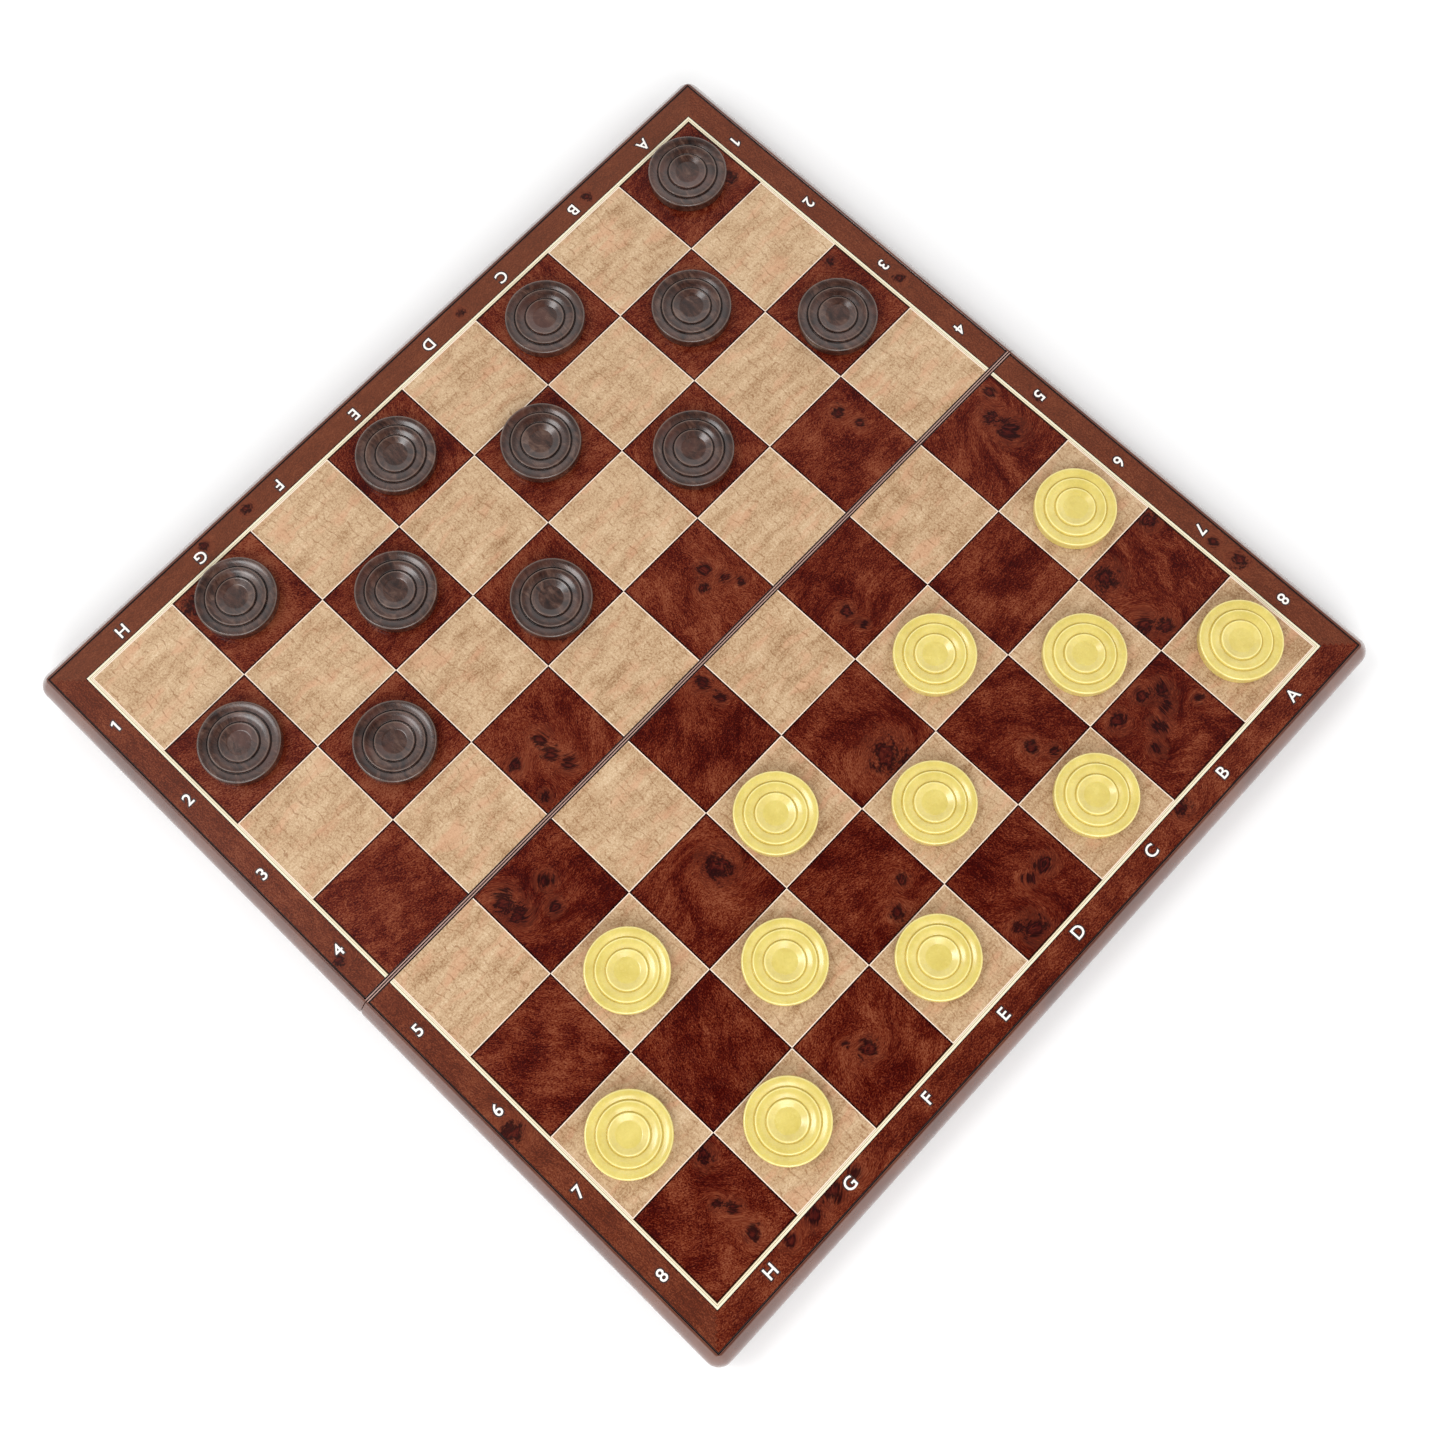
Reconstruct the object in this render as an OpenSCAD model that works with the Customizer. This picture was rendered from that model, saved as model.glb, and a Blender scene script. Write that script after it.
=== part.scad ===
// Folding magnetic draughts and chess board, open and set out with 24 draughts.
// Frame: +Z up, the table at z = 0, the origin below the middle of the board.
// X runs along the ranks (rank 1 at -X, rank 8 at +X), Y along the files (file A at +Y).
// The "low" half carries ranks 1 to 4, the "high" half carries ranks 5 to 8.
// Both halves are the same moulding, the low one turned half a turn about Z.

/* [Playing field] */
// Side of one square
square = 36; // [30:0.5:44]
// Distance from the middle of the board to the line between ranks 4 and 5
middle_line = 0.45; // [0.4:0.05:0.6]
// Width of the border outside the squares, up to the edge of the playing panel
border_w = 10.4; // [8:0.2:16]

/* [Half shell] */
// Depth of one half, from the playing surface to its rim
half_depth = 19; // [15:0.5:30]
// Width of the shell's lip around the playing panel
lip_w = 0.75; // [0.5:0.05:2]
// Width of the lip along the middle of the board
spine_lip_w = 0.58; // [0.4:0.02:1]
// How far the side wall spreads outwards below the lip
flare_w = 3.75; // [2:0.25:6]
// Depth over which the side wall spreads
flare_depth = 7.5; // [4:0.5:12]
// Radius of the lip's outer corners, around which the spreading wall sweeps
lip_corner_r = 1.5; // [1:0.25:3]
// Radius of the shell's upright corners beside the middle gap
spine_corner_r = 1.2; // [0.5:0.1:2]
// Thickness of the three outer walls at the rim
wall = 3; // [2.4:0.2:5]
// Thickness of the wall along the middle of the board
spine_wall = 2.6; // [2:0.2:4]
// Thickness of the deck below the playing panel
deck = 1.6; // [1:0.2:3]
// Gap between the two halves when the board is open
middle_gap = 0.24; // [0.1:0.02:0.3]
// Height of the stiffening ribs below the deck
rib_h = 1.2; // [0.6:0.2:3]
// Thickness of the stiffening ribs
rib_w = 1.2; // [0.8:0.2:2]

/* [Playing panel] */
// Thickness of the printed playing panel
panel_t = 1.2; // [0.8:0.1:2.5]
// Thickness of the steel sheet under the panel
steel_t = 0.4; // [0.3:0.1:0.8]
// How far the steel sheet stays inside the panel's edge
steel_inset = 1; // [0.5:0.5:3]
// Clearance all round the panel in its recess
panel_gap = 0.2; // [0.1:0.05:0.4]

/* [Hinges] */
// Radius of a hinge pin
pin_r = 0.8; // [0.6:0.05:1.2]
// Radial clearance of the turning knuckle on its pin
pin_clearance = 0.05; // [0.02:0.01:0.1]
// Wall of a knuckle around its pin
knuckle_wall = 1.2; // [1:0.1:2]
// Length of one knuckle
knuckle_len = 8; // [5:0.5:16]
// Gap between neighbouring knuckles
knuckle_gap = 0.3; // [0.2:0.05:0.6]
// Distance of each hinge's middle from the end of the board
hinge_inset = 59; // [40:1:80]
// Height between the rim and the hinge axis below it
axis_drop = 0.05; // [0.02:0.01:0.2]
// Clearance around a knuckle in the notch of the other half
notch_clearance = 0.4; // [0.3:0.1:1]

/* [Feet and sockets] */
// Room between the hinge knuckles and the table when the board is open
table_clearance = 0.35; // [0.2:0.05:1]
// Radius of a foot
foot_r = 2.2; // [1.5:0.1:3]
// Chamfer around the end of a foot
foot_chamfer = 0.4; // [0.2:0.1:0.8]
// Depth to which a foot is pressed into its boss
foot_seat = 6; // [4:0.5:9]
// Radial clearance of a socket around the foot that enters it
socket_clearance = 0.3; // [0.2:0.05:0.5]
// Extra depth of a socket beyond the foot
socket_spare = 0.6; // [0.3:0.1:1.5]
// Wall of a boss around its socket
boss_wall = 1.7; // [1.2:0.1:3]
// Distance of the outer foot or socket from the end of the board
boss_inset = 16; // [14:1:24]
// Distance between the two bosses at one corner
boss_spacing = 30; // [16:1:40]

/* [Draughts] */
// Radius of a draught
draught_r = 14; // [12:0.25:16]
// Height of a draught
draught_h = 4.5; // [3.8:0.1:8]
// Radius of the rounded upper edge
draught_edge_r = 0.6; // [0.3:0.1:1]
// Radius of the rounded lower edge
draught_foot_r = 0.9; // [0.3:0.1:1.2]
// Width of the outer ring, from the edge to its groove
outer_ring_w = 3.45; // [2.8:0.05:4]
// Width of the middle ring, between the two grooves
middle_ring_w = 3.65; // [2.8:0.05:4]
// Width of the slope between the inner groove and the flat middle
dish_slope_w = 3.3; // [2:0.1:3.6]
// How far each ring's surface slopes down towards its groove
ring_dip = 0.3; // [0.1:0.05:0.4]
// Width of a groove
groove_w = 0.8; // [0.4:0.1:1.2]
// Depth of a groove
groove_d = 0.6; // [0.4:0.1:0.8]
// Depth of the flat middle
dish_d = 0.5; // [0.1:0.05:0.6]

/* [Magnets] */
// Radius of the magnet in a draught
magnet_r = 4; // [2:0.25:5]
// Thickness of the magnet
magnet_t = 1.8; // [1:0.1:2.5]
// Radial clearance of the magnet in its pocket
magnet_clearance = 0.1; // [0.05:0.05:0.3]
// How far the magnet lies back from the draught's underside
magnet_recess = 0.1; // [0.05:0.05:0.3]

/* [Hidden] */
$fn = 64;
over = 1;

field_x = middle_line + 4 * square;
field_y = 4 * square;

spine_x = middle_gap / 2;
panel_x0 = spine_x + spine_lip_w + panel_gap;
panel_x1 = field_x + border_w;
panel_y1 = field_y + border_w;
lip_x1 = panel_x1 + panel_gap + lip_w;
lip_y1 = panel_y1 + panel_gap + lip_w;
base_x1 = lip_x1 + flare_w;
base_y1 = lip_y1 + flare_w;

knuckle_r = pin_r + knuckle_wall;
knuckle_pitch = knuckle_len + knuckle_gap;
pin_len = 3 * knuckle_len + 2 * knuckle_gap;
notch_r = knuckle_r + notch_clearance;
hinge_place = base_y1 - hinge_inset;

foot_h = knuckle_r + axis_drop + table_clearance;
rim_z = foot_h;
top_z = rim_z + half_depth;
recess_z = top_z - panel_t - steel_t;
deck_z = recess_z - deck;
axis_z = rim_z - axis_drop;

tray_x0 = spine_x + spine_wall;
tray_x1 = base_x1 - wall;
tray_y1 = base_y1 - wall;
tray_corner_r = (lip_corner_r + flare_w) / 2;

socket_r = foot_r + socket_clearance;
socket_d = foot_h + socket_spare;
boss_r = socket_r + boss_wall;
boss_x = tray_x1 - boss_r;
outer_boss_place = base_y1 - boss_inset;
inner_boss_place = outer_boss_place - boss_spacing;

outer_groove_r = draught_r - outer_ring_w;
inner_groove_r = outer_groove_r - middle_ring_w;
dish_r = inner_groove_r - dish_slope_w;

// Where the draughts stand: [file, rank, small shift along X, small shift along Y].
// File 1 is A and file 8 is H. The shifts are how a hand left them on their squares.
DARK_MEN = [
    [1, 1, -2.5, 1.5], [3, 1, 0.5, -1.5], [5, 1, -0.5, -1], [7, 1, -2.5, -1.5],
    [2, 2, -1, 0.5], [4, 2, -3.5, 0.5], [6, 2, -1, 1], [8, 2, -0.5, 1],
    [1, 3, 2.5, -3], [3, 3, 0.5, -1.5], [5, 3, 3, -1], [7, 3, 0.5, 0.5]];
LIGHT_MEN = [
    [1, 6, 0.5, -0.5], [3, 6, 0.5, 0.5], [5, 6, -1, -3], [7, 6, -0.5, -0.5],
    [2, 7, 0.5, -1.5], [4, 7, -2, -1], [6, 7, -2, 0], [8, 7, -0.5, -0.5],
    [1, 8, -1, 1.5], [3, 8, -1.5, 1], [5, 8, -3.5, -1.5], [7, 8, -3.5, 0.5]];
FILE_LETTERS = "abcdefgh";

function cell_name(man) = str(FILE_LETTERS[man[0] - 1], man[1]);
function rank_x(rank) = (rank > 4 ? 1 : -1) * (middle_line + (abs(rank - 4.5)) * square);
function file_y(file) = (4.5 - file) * square;
function man_place(man) = [rank_x(man[1]) + man[2], file_y(man[0]) + man[3], top_z];

// Outline of a half's outer wall: a quarter of a wave from the lip down to the full width.
function flare(depth) = flare_w * sin(90 * depth / flare_depth);
function flare_points(lip, steps = 10) =
    [for (i = [0:steps]) [lip + flare(flare_depth * i / steps), top_z - flare_depth * i / steps]];
function mirrored(points) = [for (i = [len(points) - 1:-1:0]) [-points[i][0], points[i][1]]];

// Turns the high half's geometry into the low half's place.
module low_side() {
    rotate([0, 0, 180]) children();
}

module rounded_rect(x0, x1, y1, inner_r, outer_r) {
    // Plain rectangle with its four corners cut and filled again by circles.
    difference() {
        translate([x0, -y1]) square([x1 - x0, 2 * y1]);
        for (s = [-1, 1]) {
            translate([x0 - over, s > 0 ? y1 - inner_r : -y1 - over]) square([inner_r + over, inner_r + over]);
            if (outer_r > 0)
                translate([x1 - outer_r, s > 0 ? y1 - outer_r : -y1 - over]) square([outer_r + over, outer_r + over]);
        }
    }
    for (s = [-1, 1]) {
        translate([x0 + inner_r, s * (y1 - inner_r)]) circle(inner_r);
        if (outer_r > 0) translate([x1 - outer_r, s * (y1 - outer_r)]) circle(outer_r);
    }
}

// The outside of one half as a solid block: the side walls' profile runs straight along each side
// and turns round both outer corners.
module half_block() {
    corner_x = lip_x1 - lip_corner_r;
    corner_y = lip_y1 - lip_corner_r;
    intersection() {
        rotate([90, 0, 90]) linear_extrude(corner_x)
            polygon(concat(mirrored(flare_points(lip_y1)), flare_points(lip_y1),
                [[base_y1, rim_z], [-base_y1, rim_z]]));
        translate([0, 0, rim_z - over]) linear_extrude(half_depth + 2 * over)
            rounded_rect(spine_x, base_x1, base_y1, spine_corner_r, 0);
    }
    rotate([90, 0, 0]) linear_extrude(2 * corner_y, center = true)
        polygon(concat([[corner_x - wall, top_z]], flare_points(lip_x1), [[base_x1, rim_z], [corner_x - wall, rim_z]]));
    for (s = [-1, 1])
        translate([corner_x, s * corner_y, 0]) rotate([0, 0, s > 0 ? 0 : -90])
            rotate_extrude(angle = 90)
                polygon(concat([[0, top_z]], flare_points(lip_corner_r), [[lip_corner_r + flare_w, rim_z], [0, rim_z]]));
}

// The hollow under the deck, between the walls.
module tray_hollow() {
    translate([0, 0, rim_z - over]) linear_extrude(deck_z - rim_z + over)
        rounded_rect(tray_x0, tray_x1, tray_y1, tray_corner_r, tray_corner_r);
}

module panel_recess() {
    translate([panel_x0 - panel_gap, -panel_y1 - panel_gap, recess_z])
        cube([panel_x1 - panel_x0 + 2 * panel_gap, 2 * (panel_y1 + panel_gap), top_z - recess_z + over]);
}

module deck_ribs() {
    rib_len_y = 2 * tray_y1 + wall;
    for (i = [1:3])
        translate([middle_line + i * square - rib_w / 2, -rib_len_y / 2, deck_z - rib_h])
            cube([rib_w, rib_len_y, rib_h + deck / 2]);
    for (j = [-3:3])
        translate([tray_x0 - spine_wall / 2, j * square - rib_w / 2, deck_z - rib_h])
            cube([tray_x1 - tray_x0 + (spine_wall + wall) / 2, rib_w, rib_h + deck / 2]);
}

// One knuckle's round part, its middle at y along the hinge axis.
module knuckle(y) {
    translate([0, y, axis_z]) rotate([90, 0, 0]) cylinder(r = knuckle_r, h = knuckle_len, center = true);
}

// Room in the spine wall for a knuckle of the other half, its middle at y.
module knuckle_notch(y) {
    translate([0, y, rim_z]) rotate([90, 0, 0])
        linear_extrude(knuckle_len + 2 * knuckle_gap, center = true)
            translate([-over, -over]) square([tray_x0 + 2 * over, notch_r - axis_drop + over]);
}

module hinge_bore(y, r, len) {
    translate([0, y, axis_z]) rotate([90, 0, 0]) cylinder(r = r, h = len, center = true);
}

// A round boss with a web that ties it to the outer wall.
module boss(y) {
    boss_h = deck_z - rim_z + deck / 2;
    translate([boss_x, y, rim_z]) cylinder(r = boss_r, h = boss_h);
    translate([boss_x, y - boss_wall, rim_z]) cube([boss_r + wall / 2, 2 * boss_wall, boss_h]);
}

module boss_bore(y, r, depth) {
    translate([boss_x, y, rim_z - over]) cylinder(r = r, h = depth + over);
}

// One half's moulding: two knuckles at the -Y hinge, one at the +Y hinge,
// feet on the outer -Y and inner +Y bosses, sockets on the others.
module half_shell() {
    difference() {
        union() {
            difference() {
                half_block();
                tray_hollow();
            }
            intersection() {
                half_block();
                union() {
                    deck_ribs();
                    for (y = [-outer_boss_place, -inner_boss_place, inner_boss_place, outer_boss_place])
                        boss(y);
                }
            }
            for (s = [-1, 1]) knuckle(-hinge_place + s * knuckle_pitch);
            knuckle(hinge_place);
        }
        panel_recess();
        knuckle_notch(-hinge_place);
        for (s = [-1, 1]) knuckle_notch(hinge_place + s * knuckle_pitch);
        hinge_bore(-hinge_place, pin_r, pin_len + 2 * knuckle_gap);
        hinge_bore(hinge_place, pin_r + pin_clearance, knuckle_len + knuckle_gap);
        for (y = [-outer_boss_place, inner_boss_place]) boss_bore(y, foot_r, foot_seat);
        for (y = [outer_boss_place, -inner_boss_place]) boss_bore(y, socket_r, socket_d);
    }
}

module shell_high() {
    color([0.36, 0.16, 0.11]) half_shell();
}

module shell_low() {
    color([0.36, 0.16, 0.11]) low_side() half_shell();
}

module half_panel() {
    translate([panel_x0, -panel_y1, top_z - panel_t]) cube([panel_x1 - panel_x0, 2 * panel_y1, panel_t]);
}

module panel_high() {
    color([0.45, 0.2, 0.13]) half_panel();
}

module panel_low() {
    color([0.45, 0.2, 0.13]) low_side() half_panel();
}

module half_steel() {
    translate([panel_x0 + steel_inset, -panel_y1 + steel_inset, recess_z])
        cube([panel_x1 - panel_x0 - 2 * steel_inset, 2 * (panel_y1 - steel_inset), steel_t]);
}

module steel_sheet_high() {
    color([0.7, 0.72, 0.74]) half_steel();
}

module steel_sheet_low() {
    color([0.7, 0.72, 0.74]) low_side() half_steel();
}

// The pin is pressed into the pair of knuckles and turns in the single one.
module half_pin() {
    translate([0, -hinge_place, axis_z]) rotate([90, 0, 0]) cylinder(r = pin_r, h = pin_len, center = true);
}

module hinge_pin_high() {
    color([0.78, 0.78, 0.8]) half_pin();
}

module hinge_pin_low() {
    color([0.78, 0.78, 0.8]) low_side() half_pin();
}

module foot(y) {
    translate([boss_x, y, 0]) rotate_extrude()
        polygon([[0, 0], [foot_r - foot_chamfer, 0], [foot_r, foot_chamfer], [foot_r, rim_z + foot_seat],
            [0, rim_z + foot_seat]]);
}

module half_feet() {
    foot(-outer_boss_place);
    foot(inner_boss_place);
}

module feet_high() {
    color([0.1, 0.09, 0.08]) half_feet();
}

module feet_low() {
    color([0.1, 0.09, 0.08]) low_side() half_feet();
}

// Points along a circle's arc.
function arc(cx, cz, r, a0, a1, steps) =
    [for (i = [0:steps]) [cx + r * cos(a0 + (a1 - a0) * i / steps), cz + r * sin(a0 + (a1 - a0) * i / steps)]];
// One groove: the ring outside it slopes down to its foot, and the next ring rises steeply from there.
function groove(r) =
    [[r + groove_w, draught_h - ring_dip], [r, draught_h - groove_d], [r - groove_w / 3, draught_h]];

// A draught is its half section turned about its axis, less the pocket for the magnet.
module draught_body() {
    difference() {
        rotate_extrude() polygon(concat(
            [[0, 0]],
            arc(draught_r - draught_foot_r, draught_foot_r, draught_foot_r, -90, 0, 4),
            arc(draught_r - draught_edge_r, draught_h - draught_edge_r, draught_edge_r, 0, 90, 4),
            groove(outer_groove_r),
            groove(inner_groove_r),
            [[dish_r, draught_h - dish_d], [0, draught_h - dish_d]]));
        translate([0, 0, -over]) cylinder(r = magnet_r + magnet_clearance, h = magnet_recess + magnet_t + over);
    }
}

module dark_draught(man) {
    color([0.34, 0.29, 0.27]) translate(man_place(man)) draught_body();
}

module light_draught(man) {
    color([0.94, 0.88, 0.52]) translate(man_place(man)) draught_body();
}

module magnet(man) {
    color([0.62, 0.63, 0.65]) translate(man_place(man) + [0, 0, magnet_recess])
        cylinder(r = magnet_r, h = magnet_t);
}

shell_low();
shell_high();
panel_low();
panel_high();
steel_sheet_low();
steel_sheet_high();
hinge_pin_low();
hinge_pin_high();
feet_low();
feet_high();
for (man = DARK_MEN) {
    dark_draught(man);
    magnet(man);
}
for (man = LIGHT_MEN) {
    light_draught(man);
    magnet(man);
}
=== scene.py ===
import math

import bmesh
import bpy
import numpy as np
from mathutils import Matrix, Vector


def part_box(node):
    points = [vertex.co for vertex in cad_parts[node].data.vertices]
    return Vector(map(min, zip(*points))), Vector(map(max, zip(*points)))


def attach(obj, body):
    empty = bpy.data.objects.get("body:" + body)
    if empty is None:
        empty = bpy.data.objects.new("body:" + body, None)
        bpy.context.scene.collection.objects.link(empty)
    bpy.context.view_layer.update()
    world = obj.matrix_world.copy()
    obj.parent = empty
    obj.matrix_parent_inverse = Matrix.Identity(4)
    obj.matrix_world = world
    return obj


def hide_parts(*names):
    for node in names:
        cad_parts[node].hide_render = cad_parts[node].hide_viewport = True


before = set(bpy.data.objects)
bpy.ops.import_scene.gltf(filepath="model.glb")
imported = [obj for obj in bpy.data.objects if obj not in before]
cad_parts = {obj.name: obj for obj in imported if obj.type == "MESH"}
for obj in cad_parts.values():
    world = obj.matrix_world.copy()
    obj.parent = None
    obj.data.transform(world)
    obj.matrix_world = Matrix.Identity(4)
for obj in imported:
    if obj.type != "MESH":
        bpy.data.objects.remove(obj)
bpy.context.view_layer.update()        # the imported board, its draughts and their joints, in metres
mm = 0.001
cm = 0.01
halves = ["low", "high"]
scene = bpy.context.scene
print("frame loaded:", len(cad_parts), "nodes")


def paint(red, green, blue):
    # screen colour 0..255 to linear light: c / 12.92 below 0.04045, else ((c + 0.055) / 1.055) ^ 2.4
    screen = np.array([red, green, blue]) / 255
    linear = np.where(screen < 0.04045, screen / 12.92, ((screen + 0.055) / 1.055) ** 2.4)
    return (*linear.tolist(), 1.0)


def newMaterial(name):
    material = bpy.data.materials.new(name)
    material.use_nodes = True
    tree = material.node_tree
    shader = tree.nodes["Principled BSDF"]
    return material, tree, shader


def addNode(tree, kind, inputs=None, **settings):
    # makes a node; an input that is a socket is linked, any other is a plain value
    made = tree.nodes.new(kind)
    for name, value in settings.items():
        setattr(made, name, value)
    for place, value in (inputs or {}).items():
        if isinstance(value, bpy.types.NodeSocket):
            tree.links.new(value, made.inputs[place])
        else:
            made.inputs[place].default_value = value
    return made


def objectPlace(tree):
    return addNode(tree, "ShaderNodeTexCoord").outputs["Object"]


def mapUv(tree, name):
    return addNode(tree, "ShaderNodeUVMap", uv_map=name).outputs["UV"]


def attribute(tree, name):
    return addNode(tree, "ShaderNodeAttribute", attribute_name=name).outputs["Fac"]


def stretch(tree, place, scale, turn=0.0):
    settings = {"Vector": place, "Scale": scale, "Rotation": (0, 0, turn)}
    return addNode(tree, "ShaderNodeMapping", settings).outputs["Vector"]


def noise(tree, place, scale, detail=4.0, roughness=0.55, distortion=0.0):
    settings = {"Vector": place, "Scale": scale, "Detail": detail,
                "Roughness": roughness, "Distortion": distortion}
    return addNode(tree, "ShaderNodeTexNoise", settings)


def cells(tree, place, scale, feature="F1"):
    settings = {"Vector": place, "Scale": scale}
    return addNode(tree, "ShaderNodeTexVoronoi", settings, feature=feature).outputs["Distance"]


def calc(tree, operation, first, second=0.0, third=0.0):
    made = addNode(tree, "ShaderNodeMath", {0: first, 1: second, 2: third}, operation=operation)
    return made.outputs[0]


def fit(tree, value, low, high, outLow=0.0, outHigh=1.0):
    # smooth rescaling of low..high to outLow..outHigh, held at the ends
    settings = {"Value": value, "From Min": low, "From Max": high, "To Min": outLow, "To Max": outHigh}
    return addNode(tree, "ShaderNodeMapRange", settings, interpolation_type="SMOOTHSTEP").outputs["Result"]


def ramp(tree, value, stops):
    made = addNode(tree, "ShaderNodeValToRGB", {"Fac": value})
    band = made.color_ramp
    while len(band.elements) < len(stops):
        band.elements.new(1.0)
    for element, (place, colour) in zip(band.elements, stops):
        element.position = place
        element.color = colour
    return made.outputs["Color"]


def blend(tree, share, first, second):
    return addNode(tree, "ShaderNodeMix", {0: share, 6: first, 7: second}, data_type="RGBA").outputs[2]


def warp(tree, place, scale, amount):
    # pushes each place by amount times (noise colour - 0.5), so straight figure starts to wander
    kind = "ShaderNodeVectorMath"
    colour = noise(tree, place, scale, 2.0).outputs["Color"]
    centred = addNode(tree, kind, {0: colour, 1: (0.5, 0.5, 0.5)}, operation="SUBTRACT")
    scaled = addNode(tree, kind, {0: centred.outputs[0], "Scale": amount}, operation="SCALE")
    return addNode(tree, kind, {0: place, 1: scaled.outputs[0]}, operation="ADD").outputs[0]


def bump(tree, shader, height, strength, distance, socket="Normal"):
    settings = {"Height": height, "Strength": strength, "Distance": distance}
    made = addNode(tree, "ShaderNodeBump", settings)
    tree.links.new(made.outputs["Normal"], shader.inputs[socket])


def link(tree, output, shader, socket):
    tree.links.new(output, shader.inputs[socket])


veneer = {
    "burlStops": [(0.20, paint(46, 2, 1)), (0.35, paint(66, 6, 2)), (0.47, paint(88, 25, 11)),
                  (0.56, paint(101, 38, 20)), (0.68, paint(118, 55, 33)), (0.84, paint(134, 74, 50))],
    "knotStops": [(0.3, paint(14, 1, 4)), (0.48, paint(30, 3, 7)), (0.62, paint(66, 15, 12)),
                  (0.8, paint(98, 40, 27))],
    "mapleStops": [(0.18, paint(138, 102, 71)), (0.36, paint(170, 136, 102)), (0.50, paint(190, 159, 125)),
                   (0.64, paint(201, 172, 138)), (0.82, paint(217, 192, 159))],
    "darkLine": 0.5 * mm,         # thin dark line at the edge of a dark square
    "darkLineColour": paint(20, 4, 4),
    "paleLine": 0.3 * mm,         # thin pale line at the edge of a light square
    "paleLineColour": paint(246, 228, 212),
    "coat": 0.16,                 # thickness of the lacquer's shine
    "sheen": 0.07,                # strength of its plain reflection
    "rippleSpacing": 0.3,         # cm between the dark ripple lines of the maple
    "blotch": 0.95,               # strengths of the burl's figure, from its broadest part
    "flame": 0.5,
    "fibre": 0.62,
    "fleck": 1.6,
    "pore": 0.3,                  # to its finest
    "curl": 0.62,                 # strengths of the maple's figure, in the same way
    "cloud": 0.4,
    "sand": 1.6,
    "burlTone": 0.035,            # how much one burl square's depth of colour differs from the next
    "mapleTone": 0.03,
    "calmHazeCover": 0.55,            # how much even brown, partly painted reflection haze, lies over the border's figure
    "gloss": 0.3,                 # mean roughness of the lacquer
}


def panelFinish(tree, shader, place):
    # printed film under a satin lacquer: a faint orange peel and slightly uneven gloss
    peel = noise(tree, place, 16.0, 2.0, 0.6).outputs["Fac"]
    scuff = noise(tree, place, 2.2, 6.0, 0.7).outputs["Fac"]
    dull = fit(tree, scuff, 0.3, 0.7, veneer["gloss"] - 0.05, veneer["gloss"] + 0.07)
    link(tree, dull, shader, "Roughness")
    bump(tree, shader, peel, 0.04, 0.0002)
    shader.inputs["Coat Weight"].default_value = veneer["coat"]
    shader.inputs["Coat Roughness"].default_value = 0.12
    shader.inputs["Specular IOR Level"].default_value = veneer["sheen"]


def edgeLine(tree, width):
    # distance to the nearest side of the square, min(pingpong u, pingpong v), turned into a thin line
    sides = addNode(tree, "ShaderNodeSeparateXYZ", {0: mapUv(tree, "square")})
    across = calc(tree, "PINGPONG", sides.outputs["X"], squareSize / 2 / cm)
    along = calc(tree, "PINGPONG", sides.outputs["Y"], squareSize / 2 / cm)
    nearest = calc(tree, "MINIMUM", across, along)
    return fit(tree, nearest, width * 0.8 / cm, width * 1.3 / cm, 1.0, 0.0)


def mixed(tree, parts):
    # 0.5 plus each part's distance from 0.5 times its weight
    total = 0.5
    for part, weight in parts:
        total = calc(tree, "ADD", total, calc(tree, "MULTIPLY_ADD", part, weight, -weight / 2))
    return total


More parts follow.
